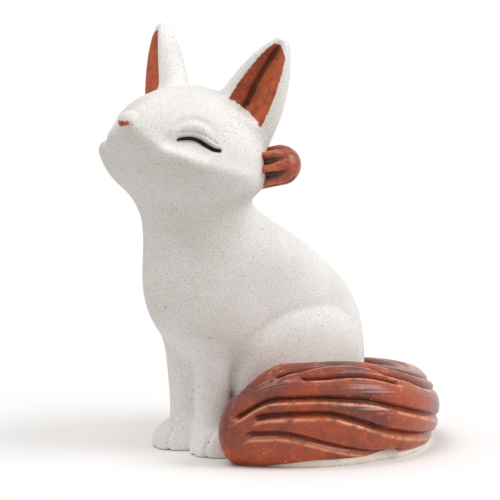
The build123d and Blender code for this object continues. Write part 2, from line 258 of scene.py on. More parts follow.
# Each relief on the face is a line, its depth, which is below 0 where it is raised, and its width
SIDE_RELIEFS = [(LID, -0.8, 1.5), (BROW, 0.6, 0.95), (SOCKET, 1.8, 2.4), (RIDGE, -0.7, 1.8)]
KEEL_DEPTH = -1.0
KEEL_WIDTH = 1.4
RELIEF_FADE = 0.3


def face_path(stops, count, surface):
    """A curve on the left of the face through a few places on a surface."""
    reach = np.arange(RAY_START, RAY_END, -RAY_STEP)
    level = np.ones_like(reach)
    points = []
    for turn, height in stops:
        a = math.radians(turn)
        ray = np.stack([reach * math.sin(a), HEAD_Y - reach * math.cos(a), level * (HEAD_Z + height)], -1)
        points.append(ray[np.argmax(lookup(surface, ray) < 0)])
    return smooth_path(points, count)


def relief(path, depth, width, ends):
    """Carve the body along a path, or raise it where depth is below 0."""
    part, grid = window(path.min(axis=0) - 3 * width, path.max(axis=0) + 3 * width)
    distance, along = path_distance(grid, path)
    body[part] += depth * bell(distance, width) * fade(along, ends)


for side in SIDES.values():
    for line, depth, width in SIDE_RELIEFS:
        relief(face_path(line, FACE_POINTS, head) * (side, 1, 1), depth, width, RELIEF_FADE)
relief(face_path(KEEL, KEEL_POINTS, head), KEEL_DEPTH, KEEL_WIDTH, RELIEF_FADE)

# Edge of the haunch, the swell inside it, and the edge of the chest above the legs
HAUNCH = [
    (8.0, -20.3, 15.6), (11.0, -22.9, 21.2), (13.7, -23.6, 27.3), (15.8, -22.2, 31.6), (17.4, -18.7, 34.7),
    (18.4, -13.8, 37.0), (18.9, -7.3, 38.5), (18.5, 1.4, 38.8), (16.9, 10.3, 37.7),
]
HAUNCH_POINTS = 90
HAUNCH_MIDDLE = np.array([19.0, -4.0, 20.0])
HAUNCH_INSET = 4.5
HAUNCH_RAISE = 1.3
HAUNCH_RAISE_WIDTH = 3.6
HAUNCH_CUT = 1.2
HAUNCH_CUT_WIDTH = 1.8
HAUNCH_FADE = 0.25
CHEST = [(0.0, -36.2, 31.6), (0.9, -35.1, 30.7), (2.7, -33.7, 29.7), (3.8, -32.5, 28.8)]
CHEST_POINTS = 30
CHEST_CUT = 0.5
CHEST_CUT_WIDTH = 1.1
haunch_edge = smooth_path(HAUNCH, HAUNCH_POINTS)
inside = HAUNCH_MIDDLE - haunch_edge
inside /= np.linalg.norm(inside, axis=1, keepdims=True)
for side in SIDES.values():
    mirror = (side, 1, 1)
    relief((haunch_edge + HAUNCH_INSET * inside) * mirror, -HAUNCH_RAISE, HAUNCH_RAISE_WIDTH, HAUNCH_FADE)
    relief(haunch_edge * mirror, HAUNCH_CUT, HAUNCH_CUT_WIDTH, HAUNCH_FADE)
    relief(smooth_path(CHEST, CHEST_POINTS) * mirror, CHEST_CUT, CHEST_CUT_WIDTH, RELIEF_FADE)

# Nose button, with a faint ring carved round its upper part
NOSE_TIP = np.array([0.0, HEAD_Y - 24.4, HEAD_Z + 12.3])
NOSE_RADIUS = 2.5
NOSE_FILLET = 1.2
NOSE_SPACE = 8
RING_RADIUS = 3.5
RING_WIDTH = 0.7
RING_DEPTH = 0.2
part, grid = window(NOSE_TIP - NOSE_SPACE, NOSE_TIP + NOSE_SPACE)
from_tip = np.sqrt(sum((grid[k] - NOSE_TIP[k]) ** 2 for k in range(3)))
body[part] += RING_DEPTH * bell(from_tip - RING_RADIUS, RING_WIDTH) * (grid[2] > NOSE_TIP[2] - 1)
body[part] = blend(body[part], from_tip - NOSE_RADIUS, NOSE_FILLET)

# Toes
TOE_GROOVES = (5.1, 9.9)
TOE_DEPTH = 0.42
TOE_WIDTH = 0.5
TOE_START = -28.5
TOE_RUN = 3
part, grid = window((-17, -38, 0), (17, -27, 9))
front = rise(grid[1], TOE_START, -TOE_RUN)
for offset in TOE_GROOVES:
    body[part] += TOE_DEPTH * bell(np.abs(grid[0]) - offset, TOE_WIDTH) * front

# Eye lines on the carved face: path, depth, width and fade of each cut
slit_path = face_path(SLIT, EYE_POINTS, body)
crease_path = face_path(CREASE, EYE_POINTS, body)
EYE_CUTS = [(crease_path, 0.3, 0.26, 0.12), (slit_path, 0.75, 0.62, 0.06)]

# Ears: across, ahead and along each one, from its seat on the head
EAR_SEAT = np.array([15.3, -23.9, 94.5])
EAR_LENGTH = 24.6
EAR_SPLAY = math.radians(22)
EAR_TILT = math.radians(15)
EAR_TURN = math.radians(22)
EAR_BOX = ((8.0, -38, 92), (36.0, -10, 118))
FOLD_START = 0.9
FOLD_LEAN = 1.2
FOLD_BOW = 0.8
FOLD_ARC = 3.0
FOLD_DEPTH = 0.5
FOLD_WIDTH = 0.6
FOLD_LOW = 1
FOLD_LOW_RUN = 3
FOLD_HIGH = EAR_LENGTH - 0.5
FOLD_HIGH_RUN = 4
EAR_BACK = -3
ear_up = np.array([math.tan(EAR_SPLAY), math.tan(EAR_TILT), 1.0])
ear_up /= np.linalg.norm(ear_up)
ear_front = np.array([math.sin(EAR_TURN), -math.cos(EAR_TURN), 0.0])
ear_front -= ear_up * (ear_front @ ear_up)
ear_front /= np.linalg.norm(ear_front)
ear_side = np.cross(ear_front, ear_up)


def ear_place(spot, side):
    """Height along the ear, distance inward from its fold, and distance ahead."""
    along, inward, ahead = along_axes(spot, side, EAR_SEAT, (ear_up, ear_side, ear_front))
    fold = FOLD_START - FOLD_LEAN * along / EAR_LENGTH + FOLD_BOW * np.sin(along / EAR_LENGTH * FOLD_ARC)
    return along, inward - fold, ahead


for side in SIDES.values():
    part, grid = side_window(side, *EAR_BOX)
    along, inward, ahead = ear_place(grid, side)
    run = rise(along, FOLD_LOW, FOLD_LOW_RUN) * rise(along, FOLD_HIGH, -FOLD_HIGH_RUN)
    body[part] += FOLD_DEPTH * bell(inward, FOLD_WIDTH) * run * (ahead > EAR_BACK)

# Skin of the body, made finer round the eyes
EYE_FRONT = -32
EYE_LOW = 83
EYE_HIGH = 99
FINER_REACH = (2.6, 2.2)
CUT_REACH = 2.0
LEAST_SLOPE = 0.2


def vertex_normals(points, quads):
    a, b, c, d = (points[quads[:, k]] for k in range(4))
    face = np.cross(c - a, d - b)
    normals = np.zeros_like(points)
    for k in range(4):
        np.add.at(normals, quads[:, k], face)
    return normals / np.maximum(np.linalg.norm(normals, axis=1, keepdims=True), 1e-9)


def eye_field(points):
    """The body with the fine lines of the closed eyes carved in."""
    values = lookup(body, points)
    folded = (np.abs(points[:, 0]), points[:, 1], points[:, 2])
    for path, depth, width, ends in EYE_CUTS:
        distance, along = path_distance(folded, path)
        values = values + depth * bell(distance, width) * fade(along, ends)
    return values


def eye_slope(points):
    step = 0.12
    slope = [eye_field(points + step * axis) - eye_field(points - step * axis) for axis in np.eye(3)]
    return np.stack(slope, -1) / (2 * step)


def refine(points, quads, chosen):
    """Split the chosen quads into four each."""
    faces = quads[chosen]
    ends = np.sort(np.stack([faces, np.roll(faces, -1, axis=1)], -1), axis=-1).reshape(-1, 2)
    ends, index = np.unique(ends, axis=0, return_inverse=True)
    middle = len(points) + index.reshape(-1, 4)
    centre = len(points) + len(ends) + np.arange(len(faces))
    points = np.vstack([points, points[ends].mean(axis=1), points[faces].mean(axis=1)])
    parts = [np.stack([faces[:, k], middle[:, k], centre, middle[:, k - 1]], -1) for k in range(4)]
    return points, np.vstack([quads[~chosen]] + parts)


def near_eyes(points, reach):
    """Which points lie within reach of an eye's crease or slit."""
    near = np.zeros(len(points), bool)
    boxed = (points[:, 1] < EYE_FRONT) & (points[:, 2] > EYE_LOW) & (points[:, 2] < EYE_HIGH)
    x, y, z = points[boxed].T
    distances = [path_distance((np.abs(x), y, z), path)[0] for path in (crease_path, slit_path)]
    near[boxed] = np.minimum(*distances) < reach
    return near


skin_points, skin_quads = field_surface(body)
skin_points = skin_points.astype(float)
skin_points[:, 2] = np.maximum(skin_points[:, 2], 0)
for reach in FINER_REACH:
    chosen = near_eyes(skin_points[skin_quads].mean(axis=1), reach)
    skin_points, skin_quads = refine(skin_points, skin_quads, chosen)
skin_normals = vertex_normals(skin_points, skin_quads)
fine = near_eyes(skin_points, CUT_REACH)
spots = skin_points[fine]
for _ in range(3):
    slope = eye_slope(spots)
    steepness = np.maximum((slope**2).sum(axis=1, keepdims=True), LEAST_SLOPE)
    spots = spots - eye_field(spots)[:, None] * slope / steepness
slope = eye_slope(spots)
skin_points[fine] = spots
skin_normals[fine] = slope / np.linalg.norm(slope, axis=1, keepdims=True)


def make_piece(name, points, faces, normals=None, values=None):
    """A mesh object in metres from points in millimetres, with point values for its material."""
    mesh = bpy.data.meshes.new(name)
    faces = np.asarray(faces)
    used, inverse = np.unique(faces, return_inverse=True)
    mesh.vertices.add(len(used))
    mesh.vertices.foreach_set("co", (points[used] / MM).astype(np.float32).ravel())
    count, sides = faces.shape
    mesh.loops.add(count * sides)
    mesh.loops.foreach_set("vertex_index", inverse.ravel().astype(np.int32))
    mesh.polygons.add(count)
    mesh.polygons.foreach_set("loop_start", np.arange(0, count * sides, sides, dtype=np.int32))
    mesh.polygons.foreach_set("loop_total", np.full(count, sides, np.int32))
    mesh.update(calc_edges=True)
    mesh.validate()
    for key, data in (values or {}).items():
        attribute = mesh.attributes.new(key, "FLOAT", "POINT")
        attribute.data.foreach_set("value", data[used].astype(np.float32))
    mesh.shade_smooth()
    if normals is not None:
        mesh.normals_split_custom_set_from_vertices(normals[used].tolist())
    piece = bpy.data.objects.new(name, mesh)
    bpy.context.scene.collection.objects.link(piece)
    return piece


def ring_faces(rings, sides):
    """Quads between closed rings of points that follow one another."""
    i, j = np.meshgrid(np.arange(rings - 1) * sides, np.arange(sides), indexing="ij")
    k = (j + 1) % sides
    return np.stack([i + j, i + sides + j, i + sides + k, i + k], -1).reshape(-1, 4)


def place(piece, node, material):
    piece.data.materials.append(material)
    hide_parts(node)
    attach(piece, "root")


# Materials
class Nodes:
    """Short calls for building one material's node tree."""

    def __init__(self, name, roughness, specular=0.5):
        self.material = bpy.data.materials.new(name)
        self.material.use_nodes = True
        self.tree = self.material.node_tree
        self.shader = self.tree.nodes["Principled BSDF"]
        self.shader.inputs["Roughness"].default_value = roughness
        self.shader.inputs["Specular IOR Level"].default_value = specular
        self.place = self.add("ShaderNodeTexCoord").outputs["Object"]

    def add(self, kind, **settings):
        node = self.tree.nodes.new(kind)
        for key, value in settings.items():
            setattr(node, key, value)
        return node

    def link(self, source, target):
        if hasattr(source, "is_linked"):
            self.tree.links.new(source, target)
        else:
            target.default_value = source

    def noise(self, scale, detail=3.0, roughness=0.5):
        node = self.add("ShaderNodeTexNoise")
        self.link(self.place, node.inputs["Vector"])
        node.inputs["Scale"].default_value = scale
        node.inputs["Detail"].default_value = detail
        node.inputs["Roughness"].default_value = roughness
        return node.outputs["Fac"]

    def cells(self, scale):
        node = self.add("ShaderNodeTexVoronoi")
        self.link(self.place, node.inputs["Vector"])
        node.inputs["Scale"].default_value = scale
        return node.outputs["Distance"], node.outputs["Color"]

    def ramp(self, value, start, end, reverse=False):
        """0 below start and 1 above end, or the other way round."""
        node = self.add("ShaderNodeMapRange", interpolation_type="SMOOTHSTEP")
        self.link(value, node.inputs["Value"])
        node.inputs["From Min"].default_value = start
        node.inputs["From Max"].default_value = end
        node.inputs["To Min"].default_value = 1.0 if reverse else 0.0
        node.inputs["To Max"].default_value = 0.0 if reverse else 1.0
        return node.outputs["Result"]

    def math(self, kind, a, b=0.0):
        node = self.add("ShaderNodeMath", operation=kind)
        self.link(a, node.inputs[0])
        self.link(b, node.inputs[1])
        return node.outputs[0]

    def mix(self, share, a, b):
        node = self.add("ShaderNodeMix", data_type="RGBA")
        self.link(share, node.inputs["Factor"])
        self.link(a, node.inputs[6])
        self.link(b, node.inputs[7])
        return node.outputs[2]

    def over(self, colour, share, strength, tone):
        """A colour with some of another tone laid over it."""
        return self.mix(self.math("MULTIPLY", share, strength), colour, tone)

    def value(self, name):
        return self.add("ShaderNodeAttribute", attribute_name=name).outputs["Fac"]

    def bump(self, height, strength, distance):
        node = self.add("ShaderNodeBump")
        self.link(height, node.inputs["Height"])
        node.inputs["Strength"].default_value = strength
        node.inputs["Distance"].default_value = distance
        self.link(node.outputs["Normal"], self.shader.inputs["Normal"])

    def colour(self, value):
        self.link(value, self.shader.inputs["Base Color"])


def rgb(r, g, b):
    """A colour given as it shows on a screen."""
    shares = (c / 255 for c in (r, g, b))
    return tuple((s / 12.92 if s < 0.0405 else ((s + 0.055) / 1.055) ** 2.4) for s in shares) + (1.0,)


def specks(n, scale, radius, rarity):
    """Round specks, in the few cells of the given scale whose tint is above the rarity."""
    distance, tint = n.cells(scale)
    split = n.add("ShaderNodeSeparateColor")
    n.link(tint, split.inputs[0])
    speck = n.ramp(distance, radius * 0.6, radius, reverse=True)
    return n.math("MULTIPLY", speck, n.ramp(split.outputs[0], rarity, rarity + 0.02))


def clay_colour(n):
    """Off-white speckled stoneware."""
    cloud = n.ramp(n.noise(55.0, 4.0), 0.35, 0.65)
    colour = n.mix(cloud, rgb(234, 232, 230), rgb(242, 242, 242))
    grain = n.noise(2300.0, 2.0)
    colour = n.over(colour, n.ramp(grain, 0.5, 0.68), 0.55, rgb(204, 193, 180))
    colour = n.over(colour, n.ramp(grain, 0.34, 0.46, reverse=True), 0.6, rgb(248, 247, 245))
    colour = n.over(colour, specks(n, 760.0, 0.22, 0.86), 0.5, rgb(160, 142, 122))
    return n.over(colour, specks(n, 290.0, 0.085, 0.8), 0.8, rgb(84, 70, 60))


def stoneware():
    n = Nodes("stoneware", 0.85, 0.2)
    n.colour(clay_colour(n))
    n.bump(n.noise(1500.0, 3.0), 0.5, 0.00025)
    return n.material


def bare_clay():
    n = Nodes("bare_clay", 0.9)
    cloud = n.ramp(n.noise(300.0, 4.0), 0.35, 0.65)
    colour = n.mix(cloud, rgb(230, 221, 205), rgb(242, 235, 222))
    n.colour(n.over(colour, n.ramp(n.noise(2000.0, 2.0), 0.5, 0.7), 0.5, rgb(168, 156, 140)))
    n.bump(n.noise(1400.0, 3.0), 0.35, 0.0002)
    return n.material


def rust_colour(n, hollow_shade):
    """Iron-red glaze, mottled, with painted shade that darkens it where the hollow value is high."""
    cloud = n.ramp(n.noise(190.0, 5.0, 0.6), 0.34, 0.66)
    colour = n.mix(cloud, rgb(128, 54, 34), rgb(178, 78, 40))
    mottle = n.ramp(n.noise(1300.0, 3.0), 0.48, 0.7)
    colour = n.over(colour, mottle, 0.4, rgb(206, 116, 74))
    pits = n.ramp(n.noise(1000.0, 3.0), 0.3, 0.44, reverse=True)
    colour = n.over(colour, pits, 0.5, rgb(104, 42, 28))
    # Painted shade: darker towards deep brown where the hollow value is high, in folds and grooves
    return n.mix(n.ramp(hollow_shade, 0.15, 0.8), colour, rgb(64, 27, 20))


def ear_glaze():
    """Rust glaze with a lighter rim, which gives way to clay at a ragged edge."""
    n = Nodes("ear_glaze", 0.48, 0.35)
    paint = n.value("paint")
    colour = rust_colour(n, n.value("hollow_shade"))
    lit = n.math("MULTIPLY", n.value("outer"), n.ramp(n.noise(420.0, 4.0), 0.3, 0.6))
    colour = n.over(colour, lit, 0.6, rgb(206, 108, 62))
    colour = n.over(colour, n.ramp(paint, -0.28, 0.02), 0.55, rgb(208, 112, 68))
    ragged = n.math("MULTIPLY", n.math("SUBTRACT", n.noise(900.0, 3.0), 0.5), 0.7)
    edge = n.math("ADD", paint, ragged)
    n.colour(n.mix(n.ramp(edge, -0.1, 0.12), colour, clay_colour(n)))
    n.bump(n.noise(1100.0, 3.0), 0.4, 0.0002)
    return n.material


def tuft_glaze():
    n = Nodes("tuft_glaze", 0.28)
    colour = rust_colour(n, n.value("hollow_shade"))
    lit = n.math("MULTIPLY", n.value("outer"), n.ramp(n.noise(520.0, 4.0), 0.3, 0.6))
    n.colour(n.over(colour, lit, 0.75, rgb(214, 116, 70)))
    n.bump(n.noise(900.0, 3.0), 0.3, 0.0002)
    return n.material


def tail_glaze():
    """Glossier glaze, pale where it thins on crests, with a painted grey-pink reflection on the ledge below
    each groove and painted shade in the grooves.
    """
    n = Nodes("tail_glaze", 0.25, 0.55)
    cloud = n.ramp(n.noise(70.0, 4.0, 0.5), 0.34, 0.66)
    colour = n.mix(cloud, rgb(108, 48, 34), rgb(170, 68, 25))
    mottle = n.ramp(n.noise(480.0, 4.0), 0.5, 0.72)
    colour = n.over(colour, mottle, 0.4, rgb(204, 102, 54))
    pits = n.ramp(n.noise(900.0, 3.0), 0.3, 0.44, reverse=True)
    colour = n.over(colour, pits, 0.5, rgb(104, 46, 34))
    # Painted grey-pink reflection on the upturned ledge below each groove
    ledge_reflection = n.math("MULTIPLY", n.value("ledge_reflection"), n.ramp(n.noise(300.0, 4.0), 0.3, 0.6))
    colour = n.over(colour, ledge_reflection, 0.6, rgb(138, 92, 80))
    crest = n.math("MULTIPLY", n.value("crest"), n.ramp(n.noise(380.0, 4.0), 0.32, 0.58))
    colour = n.over(colour, crest, 0.9, rgb(232, 152, 104))
    # Painted shade in the grooves, patchy so that some stretches are darker than others
    patchy_shade = n.ramp(n.noise(220.0, 3.0), 0.2, 0.55)
    groove = n.math("MULTIPLY", n.ramp(n.value("hollow_shade"), 0.2, 1.0), patchy_shade)
    colour = n.mix(groove, colour, rgb(70, 30, 23))
    n.colour(n.over(colour, specks(n, 560.0, 0.16, 0.95), 0.9, rgb(232, 196, 172)))
    rough = n.add("ShaderNodeMapRange")
    n.link(n.noise(160.0, 3.0), rough.inputs["Value"])
    rough.inputs["To Min"].default_value = 0.14
    rough.inputs["To Max"].default_value = 0.34
    n.link(rough.outputs["Result"], n.shader.inputs["Roughness"])
    n.bump(n.noise(420.0, 4.0), 0.3, 0.0003)
    return n.material


def eye_stain():
    n = Nodes("eye_stain", 0.8, 0.1)
    n.colour(n.mix(n.ramp(n.noise(900.0, 3.0), 0.4, 0.65), rgb(22, 16, 13), rgb(46, 34, 27)))
    n.bump(n.noise(1200.0, 2.0), 0.2, 0.0001)
    return n.material


STONEWARE = stoneware()
EAR_GLAZE = ear_glaze()
TUFT_GLAZE = tuft_glaze()
TAIL_GLAZE = tail_glaze()
EYE_STAIN = eye_stain()
BARE_CLAY = bare_clay()

# The clay skin, parted where the CAD pieces meet, with glaze where paint is below 0
LINING_SOFTENING = 1
LINING_EDGE = 0.35
LINING_REACH = 0.7
LINING_STEP = 0.8
UNLINED = -9.0
EAR_REACH = 0.6
FOLD_PAINT = 0.9
FOLD_PAINT_WIDTH = 1.2
FOLD_PAINT_START = 0.5
FOLD_PAINT_RUN = 3
FOLD_SHADE = 0.85
FOLD_SHADE_WIDTH = 0.45
SOFT_SHADE = 0.3
SOFT_SHADE_WIDTH = 1.8
SHADE_START = -1
SHADE_RUN = 4
INNER_RIM = 1.2
TIP_RIM = 1.9
TIP_CURVE = 0.3
NOSE_PATCH_HALF = (2.5, 0.8)
NOSE_PATCH_Z = 11.7
NOSE_PATCH_SCALE = 0.34
NOSE_PATCH_REACH = 0.35
NOSE_PATCH_BACK = 22
clay_distance = np.stack([lookup(fields[name], skin_points) for name in CLAY])
owner = clay_distance[:, skin_quads].mean(axis=2).argmin(axis=0)


def ear_paint(side):
    """Point values of one ear's glaze, and the quads that show it."""
    ear = CLAY.index(side + "_ear")
    paint = lookup(soften(fields[side + "_ear_lining"], LINING_SOFTENING), skin_points) - LINING_EDGE
    near = paint[skin_quads].mean(axis=1) < LINING_REACH
    along, inward, _ = ear_place(skin_points.T, SIDES[side])
    # Painted shade down the fold of the ear and softly across its well
    hollow_shade = FOLD_SHADE * bell(inward, FOLD_SHADE_WIDTH) + SOFT_SHADE * bell(inward, SOFT_SHADE_WIDTH)
    hollow_shade = hollow_shade * rise(along, SHADE_START, SHADE_RUN)
    fold = bell(inward, FOLD_PAINT_WIDTH) * rise(along, FOLD_PAINT_START, FOLD_PAINT_RUN)
    paint = paint - FOLD_PAINT * fold
    lined = (paint < 0) & (clay_distance[ear] < EAR_REACH)
    steps = np.arange(0.0, EAR_LENGTH, LINING_STEP)
    inner = [inward[lined & (np.abs(along - a) < LINING_STEP)].max(initial=UNLINED) for a in steps]
    paint = np.maximum(paint, inward - np.interp(along, steps, inner) + INNER_RIM)
    paint = np.maximum(paint, along - EAR_LENGTH + TIP_RIM + TIP_CURVE * np.abs(inward) ** 1.5)
    outer = np.clip(0.2 - inward / 4, 0, 1)
    return {"paint": paint, "hollow_shade": hollow_shade, "outer": outer}, near & (owner == ear)


def nose_paint():
    """Point values of the glaze on the nose, and the quads that show it."""
    x, _, z = skin_points.T
    paint = np.hypot(x / NOSE_PATCH_HALF[0], (z - HEAD_Z - NOSE_PATCH_Z) / NOSE_PATCH_HALF[1]) - 1
    paint = paint * NOSE_PATCH_SCALE
    near = paint[skin_quads].mean(axis=1) < NOSE_PATCH_REACH
    near &= skin_points[skin_quads[:, 0], 1] < HEAD_Y - NOSE_PATCH_BACK
    values = {"paint": paint, "hollow_shade": np.zeros_like(paint), "outer": np.full_like(paint, 0.5)}
    return values, near & (owner == CLAY.index("head"))


painted = {side + "_ear_lining": ear_paint(side) for side in SIDES}
painted["nose_glaze"] = nose_paint()
taken = np.zeros(len(skin_quads), bool)
for name, (values, chosen) in painted.items():
    taken |= chosen
    piece = make_piece(name + "_glaze", skin_points, skin_quads[chosen], skin_normals, values)
    place(piece, name, EAR_GLAZE)
for k, name in enumerate(CLAY):
    piece = make_piece(name + "_clay", skin_points, skin_quads[(owner == k) & ~taken], skin_normals)
    place(piece, name, STONEWARE)

# Dark lines of the closed eyes
STAIN_RADIUS = 0.5
STAIN_SINK = 0.1
STAIN_SHARES = [0, 0.1, 0.3, 0.6, 0.9, 0.97, 1]
STAIN_TAPER = [0.05, 0.6, 0.9, 1.0, 0.95, 0.7, 0.05]


def tube(name, path, radii, sides=10):
    """A round rod along a path, nearly closed by its taper."""
    along = np.gradient(path, axis=0)
    along /= np.linalg.norm(along, axis=1, keepdims=True)
    across = np.cross(along, (0.0, 0.0, 1.0))
    across /= np.linalg.norm(across, axis=1, keepdims=True)
    above = np.cross(across, along)
    turns = np.arange(sides) * 2 * math.pi / sides
    rings = path[:, None] + radii[:, None, None] * (
        np.cos(turns)[None, :, None] * across[:, None] + np.sin(turns)[None, :, None] * above[:, None]
    )
    return make_piece(name, rings.reshape(-1, 3), ring_faces(len(path), sides))


out = slit_path * (1, 1, 0) - (0, HEAD_Y, 0)
out /= np.linalg.norm(out, axis=1, keepdims=True)
radii = STAIN_RADIUS * np.interp(np.linspace(0, 1, len(slit_path)), STAIN_SHARES, STAIN_TAPER)
for side in SIDES:
    name = side + "_eye_line"
    piece = tube(name + "_stain", (slit_path - out * STAIN_SINK) * (SIDES[side], 1, 1), radii)
    place(piece, name, EYE_STAIN)

# Cheek tufts: a bun carved with wedges that are wide at the head and run out before its end
TUFT_BASE = np.array([18.1, -23.9, 80.1])
TUFT_SWEEP = math.radians(20)
TUFT_LIFT = math.radians(14)
TUFT_BOX = ((14.0, -36, 68), (42.0, -6, 96))
TUFT_STRAIGHT = 8.0
TUFT_DOME = 6.4
TUFT_RADIUS = 5.7
TUFT_SINK = 0.8
WEDGES = 7
WEDGE_DEPTH = 1.8
WEDGE_TIP = 0.3
WEDGE_WIDTH = 0.95
WEDGE_END = TUFT_STRAIGHT + 4.8
WEDGE_RUN = 4.5
LIT_END = TUFT_STRAIGHT + 4.5
LIT_RUN = 3
tuft_axis = np.array([
    math.cos(TUFT_LIFT) * math.cos(TUFT_SWEEP),
    math.cos(TUFT_LIFT) * math.sin(TUFT_SWEEP),
    math.sin(TUFT_LIFT),
])
tuft_back = np.array([-math.sin(TUFT_SWEEP), math.cos(TUFT_SWEEP), 0.0])
tuft_top = np.cross(tuft_axis, tuft_back)


def tuft_place(spot, side):
    """Distance along the tuft, distance off its axis, and 1 in the middle of a wedge but 0 off it."""
    along, back, top = along_axes(spot, side, TUFT_BASE, (tuft_axis, tuft_back, tuft_top))
    off = np.hypot(back, top)
    pitch = 2 * math.pi / WEDGES
    turn = np.arctan2(top, back) / pitch
    arc = np.abs(turn - np.round(turn)) * pitch * off
    run = rise(along, WEDGE_END, -WEDGE_RUN)
    return along, off, bell(arc, WEDGE_TIP + WEDGE_WIDTH * run) * run**0.6


for side, sign in SIDES.items():
    name = side + "_cheek_tuft"
    tuft = np.full(SHAPE, FAR, np.float32)
    part, grid = side_window(sign, *TUFT_BOX)
    along, off, wedge = tuft_place(grid, sign)
    end = np.maximum(along - TUFT_STRAIGHT, 0) / TUFT_DOME
    bun = TUFT_RADIUS * (np.hypot(end, off / TUFT_RADIUS) - 1)
    tuft[part] = np.maximum(bun + WEDGE_DEPTH * wedge, -head[part] - TUFT_SINK)
    points, quads = field_surface(tuft)
    # The wedge value becomes painted shade in the glaze, darkest in the middle of each wedge
    along, _, hollow_shade = tuft_place(points.T.astype(float), sign)
    outer = rise(along, LIT_END, -LIT_RUN) * np.clip(1 - 1.5 * hollow_shade, 0, 1)
    values = {"hollow_shade": hollow_shade, "outer": outer}
    piece = make_piece(name + "_glaze", points, quads, vertex_normals(points, quads), values)
    place(piece, name, TUFT_GLAZE)

# Tail, in millimetres; turns are degrees from +X towards the back
TAIL_MIDDLE = 9.0
TAIL_OUTER = 41.8
TAIL_ROOT = 112.0
TAIL_FULL = -45.0
TAIL_END = -77.0
DOME_START = -69.5
DOME_OPENING = 0.02
TAPER_TURN = 31.0
WAIST_START = -25.0
TUCK_START = 58.0
TUCK = 12.0
TIP_HALF_WIDTH = 2.4
FULL_HALF_WIDTH = 12.0
WAIST_NARROWING = 3.5
TIP_HEIGHT = 8.0
FULL_HEIGHT = 27.5
WAIST_LOWERING = 7.5
BELOW_TABLE = 2.2
TIP_LIFT = 2.9
LIFT_START = -55.0
LIFT_TURN = 15.0
RIM_LOWEST = 0.35
RIM_GAIN = 1.9
RIM_TURNS = [-80, -56, -36, 5, 30, 60, 112]
RIM_SHARES = [0, 0, 1, 0.9, 0.5, 0.6, 0.6]
RIM_LIMIT = 0.2
RIM_SLACK = 0.999


def tail_form(turn):
    """Half width, half height, height of the middle and radius of the middle of the tail's section."""
    size = (1 - rise(turn, TAIL_FULL, -TAPER_TURN) ** 1.8) ** 0.6
    waist = smooth_step((turn - WAIST_START) / (TUCK_START - WAIST_START))
    half_width = TIP_HALF_WIDTH + (FULL_HALF_WIDTH - TIP_HALF_WIDTH) * size - WAIST_NARROWING * waist
    height = TIP_HEIGHT + (FULL_HEIGHT - TIP_HEIGHT) * size - WAIST_LOWERING * waist
    half_height = (height + BELOW_TABLE - TIP_LIFT * rise(turn, LIFT_START, -LIFT_TURN) ** 1.5) / 2
    tuck = TUCK * (np.maximum(turn - TUCK_START, 0) / (TAIL_ROOT - TUCK_START)) ** 2
    return half_width, half_height, height - half_height, TAIL_OUTER - tuck - half_width


def rim_height(turn):
    """Height of the glaze's lower edge above the table."""
    return RIM_LOWEST + RIM_GAIN * np.interp(turn, RIM_TURNS, RIM_SHARES)


# Each groove is a run of (turn, angle round the section) and its depth
GROOVES = [
    ([(-57, 60), (-54, 72), (-51, 87), (-43, 98), (-30, 102), (0, 104), (40, 92), (112, 80)], 0.9),
    ([
        (-55, 52), (-52, 60), (-41, 71), (-27, 82), (-14, 80), (-5, 74), (1, 62), (13, 53),
        (23, 43), (60, 24), (112, 8),
    ], 1.2),
    ([(-44, 57), (-34, 56), (-24, 57), (-18, 57.5), (-10, 56), (-1, 51), (6, 46)], 1.3),
    ([
        (-69, 20), (-64, 24), (-57, 30), (-52, 31), (-46, 30), (-35, 30.5), (-22, 27), (-11, 23),
        (1, 15), (24, 2), (60, -16), (112, -30),
    ], 1.5),
    ([
        (-61.5, 11), (-56, 13.5), (-49, 12), (-39, 12.5), (-30, 11.5), (-22, 5), (-15, -1.5),
        (-3.5, -12), (17, -23), (50, -36),
    ], 1.6),
    ([
        (-64.5, -10), (-61, -6.5), (-54, -7.5), (-46, -10.5), (-39, -15.5), (-31, -23), (-21, -32),
        (-9, -40), (5.5, -43),
    ], 1.5),
    ([(-4, 88), (14, 72), (40, 52), (70, 38), (112, 26)], 1.0),
    ([(-60, 85), (-56, 110), (-45, 120), (0, 124), (60, 118), (112, 108)], 1.0),
    ([(-62, 125), (-45, 140), (0, 146), (60, 142), (112, 136)], 1.0),
    ([(-62, 160), (-40, 166), (10, 168), (60, 166), (112, 164)], 1.0),
    ([(-60, 190), (-20, 190), (50, 190), (112, 190)], 0.8),
]
GROOVE_POINTS = 400
GROOVE_FADE = 5.0
GROOVE_OVERRUN = 2
GROOVE_END_GAP = 6
UPPER_WALL = 0.85
LOWER_WALL = 1.5
FULL_GIRTH = 12.0
LOCK_HEIGHT = 1.2
LOCK_REACH = 2.8
LOCK_BASE = 0.45
HAIR_HEIGHT = 0.03
HAIR_PITCH = 1.3
HAIR_WAVE = 3
HAIR_WAVE_PITCH = 2.3
HAIR_REACH = 2
EASE_SHARE = 0.5
EASE_START = 10.0
EASE_TURN = 25.0

# Bands of colour along each groove: height of the middle above it, and width. The first band is painted
# shade in the groove, the second the paler glaze on the crest below it, the third a painted reflection on
# the ledge between them.
BANDS = {"hollow_shade": (0.1, 0.36), "crest": (-1.65, 0.35), "ledge_reflection": (-0.8, 0.5)}

